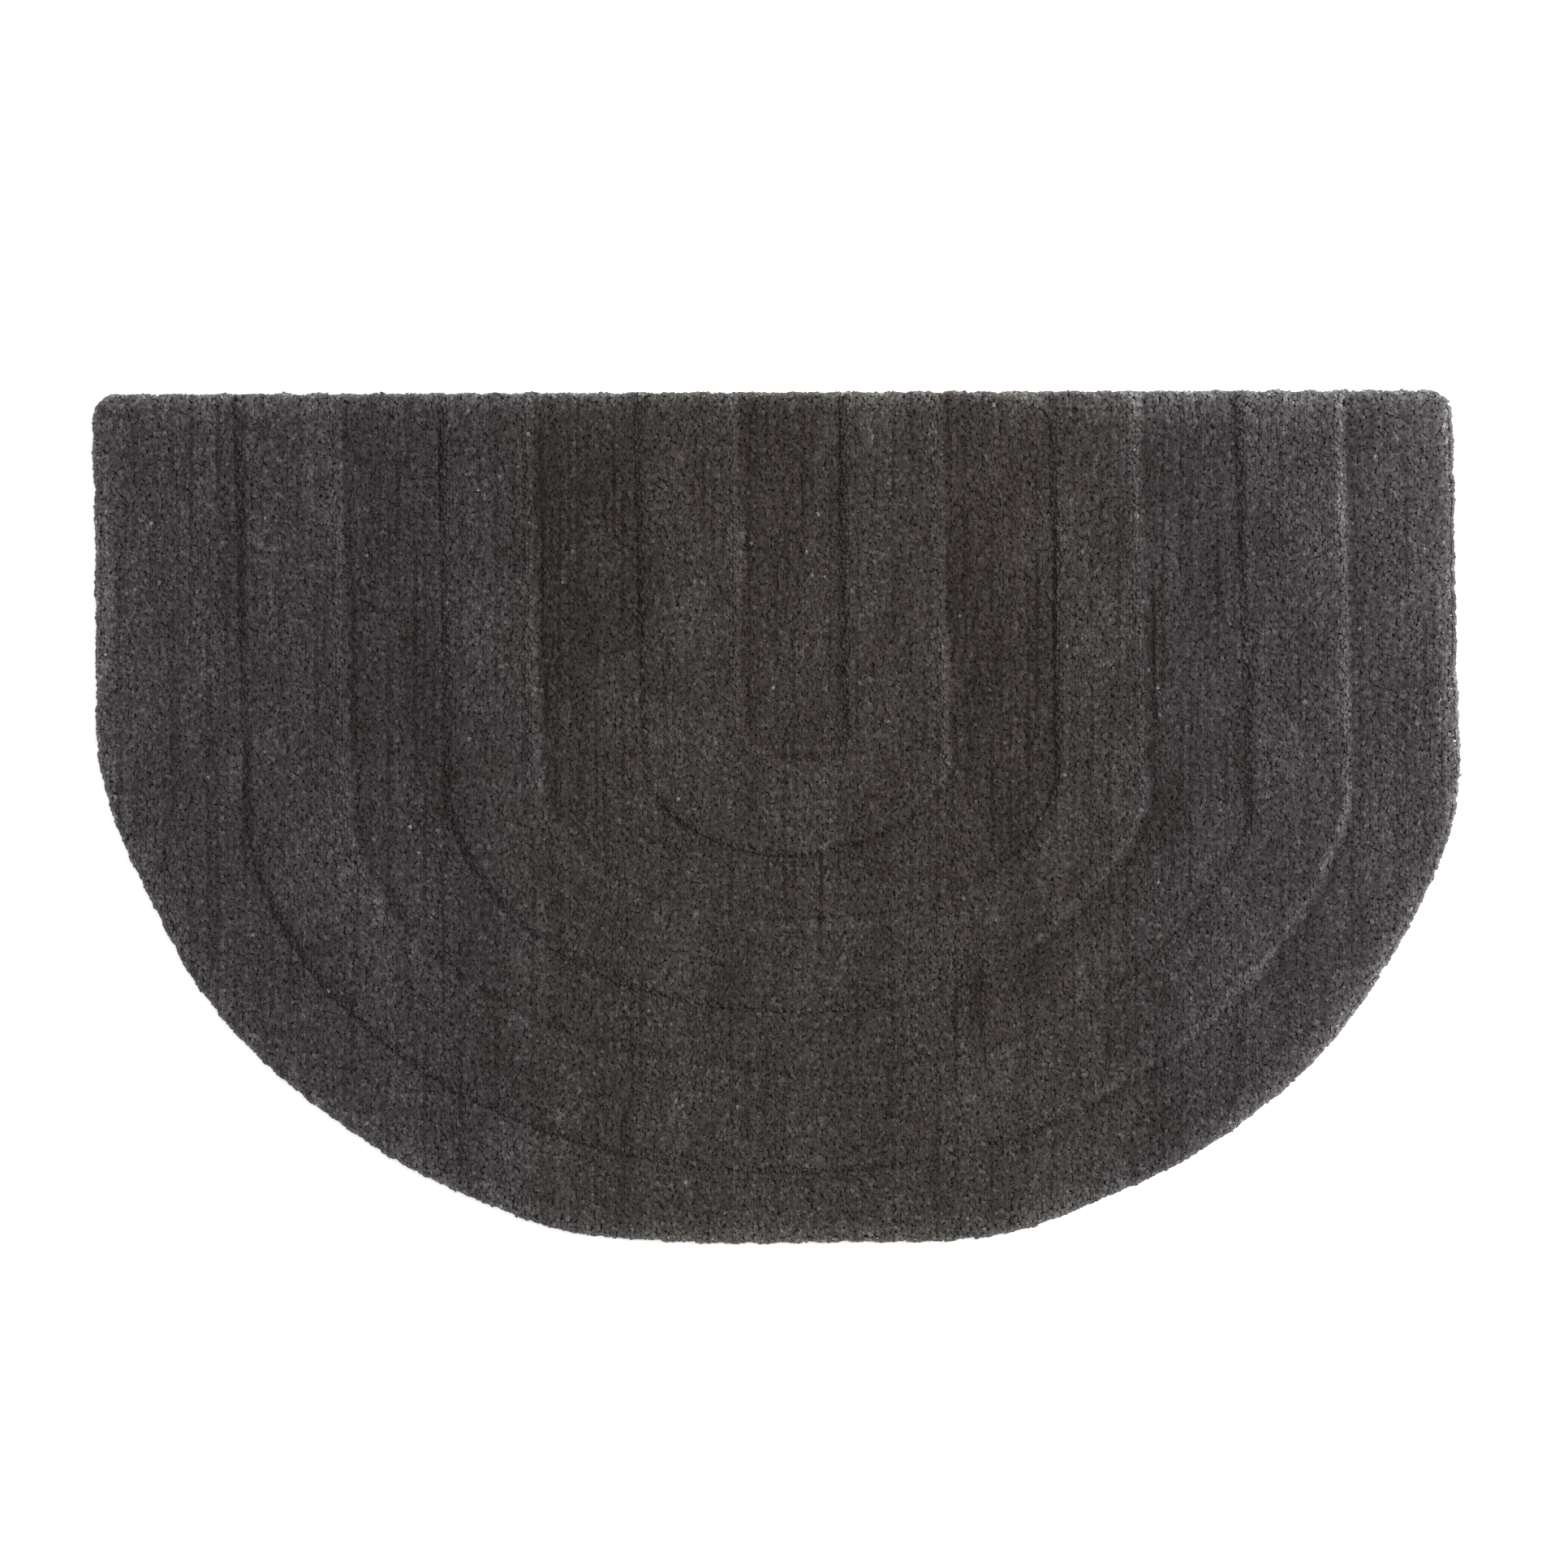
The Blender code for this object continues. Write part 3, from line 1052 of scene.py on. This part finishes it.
@dataclass
class CutPile:
    """All the yarn ends of the rug, set in tufting columns and sheared to the relief."""

    relief: Relief
    yarn: YarnEnd
    tones: PileTones = PileTones()
    carving: Carving = Carving()
    column_pitch: float = 0.00247
    row_pitch: float = 0.00262
    jitter: float = 0.00058
    length: float = 0.0062
    width: float = 0.00205
    width_along: float = 1.16
    tip_drift: float = 0.0022
    lay: tuple = (0.12, 0.0)
    lean_along: float = 0.14
    lean_spread: float = 0.15
    height_spread: float = 0.00034
    column_heights: Streaks = Streaks(pitch=0.0074, run=0.110, seed=23)
    column_height: float = 0.00016
    splay_reach: float = 0.0085
    splay: float = 1.05
    field_inset: float = 0.0026
    rim_insets: tuple = (0.0, 0.0013, 0.004, 0.008)
    rim_drops: tuple = (0.0065, 0.0036, 0.0012, 0.0)
    rim_rows: tuple = (
        (0.0024, 0.0072, 0.55, 0.75), (0.0014, 0.0054, 0.95, 0.35), (0.0008, 0.0038, 1.25, 0.0),
    )
    rim_pitch: float = 0.0020
    rim_flop: float = 0.0018
    rim_clump: float = 0.0006
    rim_reach: float = 0.0022
    rim_length: float = 0.0052
    rim_jitter: float = 0.0005
    rim_lean_spread: float = 0.16
    lowest: float = 0.0002
    comb: Waves = Waves(lengths=(0.085, 0.041, 0.023), stretch=3.0, seed=5)
    comb_across: Waves = Waves(lengths=(0.120, 0.052, 0.031), stretch=4.0, seed=8)
    rim_clumps: Waves = Waves(lengths=(0.024, 0.015), stretch=1.0, seed=13)

    def grid(self) -> np.ndarray:
        """Places of the tufting grid inside the rug's box."""
        low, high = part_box("rug")
        across = np.arange(low[0], high[0], self.column_pitch)
        along = np.arange(low[1], high[1], self.row_pitch)
        x, y = np.meshgrid(across, along)
        y = y + (np.arange(len(across)) % 2) * self.row_pitch / 2
        return np.stack([x.ravel(), y.ravel()], axis=1)

    def field(self, draw: np.random.Generator) -> YarnPlaces:
        """Sets the yarn ends over the whole upper face.

        Args:
            draw: source of the small irregularities.

        Returns:
            The yarn ends.
        """
        roots = self.grid()
        roots += draw.normal(0.0, self.jitter, roots.shape)
        inset, away = self.relief.from_rim(roots)
        inside = inset > self.field_inset - self.rim_flop * np.maximum(away[:, 0], 0.0)
        roots, inset, away = roots[inside], inset[inside], away[inside]
        from_step, downhill = self.relief.from_step(roots)
        count = len(roots)
        lean = np.stack([self.comb_across.at(roots), self.comb.at(roots)], axis=1) * self.lean_along
        lean += draw.normal(0.0, self.lean_spread, (count, 2)) * (1.0, 1.25) + self.lay
        near_rim = np.clip(1.0 - inset / self.splay_reach, 0.0, 1.0)
        lean += away * (self.splay * near_rim ** 1.4)[:, None]
        lean += self.carving.leans(from_step, downhill)
        height = self.heights(roots, from_step, downhill)
        height += draw.normal(0.0, self.height_spread, count)
        height -= np.interp(inset, self.rim_insets, self.rim_drops)
        axes = unit(np.column_stack([lean, np.ones(count)]))
        lengths = self.length * draw.uniform(0.92, 1.10, count)
        zones = self.relief.zones(roots)
        tips = np.column_stack([roots + axes[:, :2] * self.tip_drift, height])
        return YarnPlaces(
            tips=tips, axes=axes, lengths=lengths,
            widths=self.width * draw.uniform(0.80, 1.20, count), turns=draw.uniform(0, math.pi, count),
            tones=self.end_tones(roots, zones, inset, from_step, downhill, draw), zones=zones,
        )

    def heights(self, roots: np.ndarray, from_step: np.ndarray, downhill: np.ndarray) -> np.ndarray:
        """Sheared height at each place, with the crevice and the rolled edge of each step."""
        rise = PileHeight.RAISED.value - PileHeight.LOW.value
        height = PileHeight.LOW.value + rise * self.carving.rise(from_step, downhill)
        height -= self.carving.crevice_depth * self.carving.crevice(from_step)
        return height + self.column_height * self.column_heights.at(roots)

    def end_tones(self, roots: np.ndarray, zones: np.ndarray, inset: np.ndarray, from_step: np.ndarray,
                  downhill: np.ndarray, draw: np.random.Generator) -> np.ndarray:
        """Tone of each yarn end, with painted light and shade from the rim, the sides and the steps, and a
        few pale ones among them.

        Args:
            roots: place of each end.
            zones: number of the zone of each end.
            inset: distance of each end inside the rim.
            from_step: distance of each end from the nearest step.
            downhill: unit vector down that step for each end.
            draw: source of the small irregularities.

        Returns:
            The tones.
        """
        count = len(roots)
        tone = self.tones.at(roots, zones, inset) + draw.normal(0.0, self.tones.spread, count)
        # painted highlight and shade along the steps
        tone += self.carving.tones(roots, from_step, downhill)
        pale = draw.random(count) < self.tones.pale_share
        return np.where(pale, tone + draw.uniform(0.10, 0.38, count), tone)

    def rim(self, draw: np.random.Generator) -> YarnPlaces:
        """Sets rows of yarn ends that splay out over the rim's side, higher where a band ends.

        Args:
            draw: source of the small irregularities.

        Returns:
            The yarn ends.
        """
        outline = np.vstack([self.relief.outline, self.relief.outline[:1]])
        travelled = np.concatenate([[0.0], np.cumsum(np.hypot(*np.diff(outline, axis=0).T))])
        count = int(travelled[-1] / self.rim_pitch)
        rows = []
        for depth, height, out, climb in self.rim_rows:
            places = np.linspace(0.0, travelled[-1], count, endpoint=False)
            places = (places + draw.normal(0.0, self.rim_jitter, count)) % travelled[-1]
            line = np.stack([np.interp(places, travelled, outline[:, axis]) for axis in (0, 1)], 1)
            away = self.relief.from_rim(line - self.towards_middle(line) * 0.001)[1]
            clump = self.rim_clump * self.rim_clumps.at(line) + draw.normal(0.0, self.rim_jitter, count)
            tip = line - away * (depth - self.rim_reach - clump)[:, None]
            tip[:, 0] += self.rim_flop * np.maximum(away[:, 0], 0.0)
            lean = away * out + draw.normal(0.0, self.rim_lean_spread, (count, 2))
            axes = unit(np.column_stack([lean, np.ones(count) * max(0.12, 1.3 - out)]))
            rise = self.relief.full_height(self.relief.from_step(line)[0]) - PileHeight.LOW.value
            z = height + climb * rise + draw.normal(0.0, self.rim_jitter, count)
            zones = np.full(count, len(Zone))
            # at inset 0 these ends get the full painted rim light
            tones = self.tones.at(line, zones, np.zeros(count))
            rows.append(YarnPlaces(
                tips=np.column_stack([tip, z]), axes=axes,
                lengths=self.rim_length * draw.uniform(0.9, 1.1, count),
                widths=self.width * draw.uniform(0.7, 1.0, count), turns=draw.uniform(0, math.pi, count),
                tones=tones + draw.normal(0.0, self.tones.spread, count), zones=zones,
            ))
        return rows[0].joined(rows[1]).joined(rows[2])

    @staticmethod
    def towards_middle(points: np.ndarray) -> np.ndarray:
        """Unit vectors from the rug's middle to each point."""
        return points / np.linalg.norm(points, axis=1, keepdims=True)

    def mesh_of(self, name: str, yarns: YarnPlaces) -> bpy.types.Object:
        """Joins a stretch of yarn ends into one mesh.

        Args:
            name: the piece's name.
            yarns: the yarn ends.

        Returns:
            The piece, with each end's tone, warmth, reach from root to tip and a map.
        """
        shape = self.yarn.vertices
        count, corners = len(yarns.tips), len(shape)
        side = unit(np.cross((0.0, 1.0, 0.0), yarns.axes))
        ahead = np.cross(yarns.axes, side)
        cos, sin = np.cos(yarns.turns)[:, None], np.sin(yarns.turns)[:, None]
        x = (shape[None, :, 0] * cos - shape[None, :, 1] * sin) * yarns.widths[:, None]
        y = (shape[None, :, 0] * sin + shape[None, :, 1] * cos) * yarns.widths[:, None] * self.width_along
        z = (shape[None, :, 2] - 1.0) * yarns.lengths[:, None]
        points = (
            yarns.tips[:, None, :] + x[..., None] * side[:, None, :]
            + y[..., None] * ahead[:, None, :] + z[..., None] * yarns.axes[:, None, :]
        )
        soft = self.yarn.normals
        normals = (
            (soft[None, :, 0] * cos - soft[None, :, 1] * sin)[..., None] * side[:, None, :]
            + (soft[None, :, 0] * sin + soft[None, :, 1] * cos)[..., None] * ahead[:, None, :]
            + soft[None, :, 2, None] * yarns.axes[:, None, :]
        )
        points[..., 2] = np.maximum(points[..., 2], self.lowest)
        faces = (self.yarn.triangles[None] + corners * np.arange(count)[:, None, None]).reshape(-1, 3)
        data = mesh_from_arrays(name, points.reshape(-1, 3), faces)
        data.normals_split_custom_set_from_vertices(normals.reshape(-1, 3).tolist())
        add_values(data, "tone", np.repeat(yarns.tones, corners))
        add_values(data, "warmth", np.repeat(self.tones.warmth(yarns.tips[:, :2]), corners))
        add_values(data, "reach", np.tile(shape[:, 2], count))
        cells = math.ceil(math.sqrt(count))
        cell = np.stack([np.arange(count) % cells, np.arange(count) // cells], axis=1)
        places = (self.yarn.map_places[None] + cell[:, None, None, :]) / cells
        data.uv_layers.new(name="OFBake").uv.foreach_set("vector", places.astype(np.float32).ravel())
        return link(name, data)

    def make(self, finish: bpy.types.Material) -> list[bpy.types.Object]:
        """Builds the pile, a piece for each zone and two for the wide ones.

        Args:
            finish: the yarn's material.

        Returns:
            The pieces.
        """
        draw = np.random.default_rng(SEED)
        yarns = self.field(draw)
        rim = self.rim(draw)
        pieces = []
        for number, zone in enumerate(Zone):
            part = yarns.pick(yarns.zones == number)
            if zone in (Zone.BORDER, Zone.OUTER_BAND):
                right = part.tips[:, 0] > 0.0
                pieces.append(self.mesh_of(f"pile_{zone.value}_left", part.pick(~right)))
                pieces.append(self.mesh_of(f"pile_{zone.value}_right", part.pick(right)))
            else:
                pieces.append(self.mesh_of(f"pile_{zone.value}", part))
        pieces.append(self.mesh_of("pile_rim", rim))
        for piece in pieces:
            piece.data.materials.append(finish)
            LOG.info("%s: %d triangles", piece.name, len(piece.data.polygons))
        return pieces


def unit(vectors: np.ndarray) -> np.ndarray:
    """Vectors of length 1 in the same directions."""
    return vectors / np.linalg.norm(vectors, axis=1, keepdims=True)


def mesh_from_arrays(name: str, points: np.ndarray, triangles: np.ndarray) -> bpy.types.Mesh:
    """Makes a mesh from an array of points and one of triangles."""
    data = bpy.data.meshes.new(name)
    data.vertices.add(len(points))
    data.vertices.foreach_set("co", points.astype(np.float32).ravel())
    data.loops.add(triangles.size)
    data.loops.foreach_set("vertex_index", triangles.astype(np.int32).ravel())
    data.polygons.add(len(triangles))
    data.polygons.foreach_set("loop_start", np.arange(0, triangles.size, 3, dtype=np.int32))
    data.update(calc_edges=True)
    data.shade_smooth()
    return data


def add_values(data: bpy.types.Mesh, name: str, values: np.ndarray) -> None:
    """Keeps one number for each point of a mesh under a name."""
    attribute = data.attributes.new(name, "FLOAT", "POINT")
    attribute.data.foreach_set("value", values.astype(np.float32))


def link(name: str, data: bpy.types.ID) -> bpy.types.Object:
    """Adds an object with this data to the scene."""
    obj = bpy.data.objects.new(name, data)
    bpy.context.scene.collection.objects.link(obj)
    return obj


@dataclass
class Studio:
    """Pale floor, soft light from the upper right of the picture and a camera straight above."""

    relief: Relief
    picture_width: float = PHOTO_PIXELS * 2 / 3 * 0.001
    picture_middle: tuple = (0.0070, 0.0263)
    camera_height: float = 6.0
    sensor: float = 36.0
    floor_size: float = 9.0
    floor_colour: tuple = (0.86, 0.86, 0.855, 1.0)
    floor_gap: float = 0.0004
    floor_glow: float = 0.5
    lamps: tuple = (
        ("key_light", (3.3, 1.2, 3.2), 2.0, 300.0), ("top_light", (-0.4, 0.5, 4.2), 3.0, 60.0),
    )
    surround: float = 0.36

    def floor(self) -> bpy.types.Object:
        """Makes the plain pale floor."""
        mesh = bmesh.new()
        bmesh.ops.create_grid(mesh, x_segments=1, y_segments=1, size=self.floor_size / 2)
        bmesh.ops.translate(mesh, verts=mesh.verts, vec=(0.0, 0.0, -self.floor_gap))
        data = bpy.data.meshes.new("floor")
        mesh.to_mesh(data)
        mesh.free()
        material = bpy.data.materials.new("pale_floor")
        material.use_nodes = True
        shader = material.node_tree.nodes["Principled BSDF"]
        shader.inputs["Base Color"].default_value = self.floor_colour
        shader.inputs["Roughness"].default_value = 0.8
        shader.inputs["Emission Color"].default_value = (1.0, 1.0, 1.0, 1.0)
        shader.inputs["Emission Strength"].default_value = self.floor_glow
        data.materials.append(material)
        floor = link("floor", data)
        return floor

    def lamp(self, name: str, place: tuple, size: float, watts: float) -> bpy.types.Object:
        """Hangs a square soft light that faces the rug's middle.

        Args:
            name: the lamp's name.
            place: where it hangs, in metres.
            size: the length of its side.
            watts: its power.

        Returns:
            The lamp.
        """
        data = bpy.data.lights.new(name, "AREA")
        data.shape = "SQUARE"
        data.size = size
        data.energy = watts
        lamp = link(name, data)
        lamp.location = place
        lamp.rotation_euler = Vector(place).to_track_quat("Z", "Y").to_euler()
        return lamp

    def light(self) -> None:
        """Sets the lamps and the soft light from all round."""
        for name, place, size, watts in self.lamps:
            self.lamp(name, place, size, watts)
        world = bpy.data.worlds.new("soft_surround")
        world.use_nodes = True
        background = world.node_tree.nodes["Background"]
        background.inputs["Color"].default_value = (1.0, 1.0, 1.0, 1.0)
        background.inputs["Strength"].default_value = self.surround
        bpy.context.scene.world = world
        bpy.context.scene.view_settings.view_transform = "Standard"

    def camera(self) -> bpy.types.Object:
        """Hangs the camera straight above the picture's middle."""
        data = bpy.data.cameras.new("overhead_camera")
        data.sensor_width = self.sensor
        data.lens = self.sensor * self.camera_height / self.picture_width
        data.clip_end = 50.0
        camera = link("overhead_camera", data)
        x, y = np.array(self.picture_middle) + self.relief.shift
        camera.location = (x, y, self.camera_height + PileHeight.RAISED.value)
        bpy.context.scene.camera = camera
        return camera


def main() -> None:
    """Builds the rug and the studio, and declares every piece to the frame."""
    logging.basicConfig(level=logging.INFO, format="%(name)s: %(message)s")
    relief = Relief(RugPlan())
    ground = Ground(relief).make()
    LOG.info("%s: %d faces", ground.name, len(ground.data.polygons))
    pile = CutPile(relief, YarnEnd()).make(CutYarn().make())
    for piece in [ground, *pile]:
        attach(piece, "root")
    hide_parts("rug")
    studio = Studio(relief)
    studio.floor()
    studio.light()
    studio.camera()


if __name__ == "__main__":
    main()
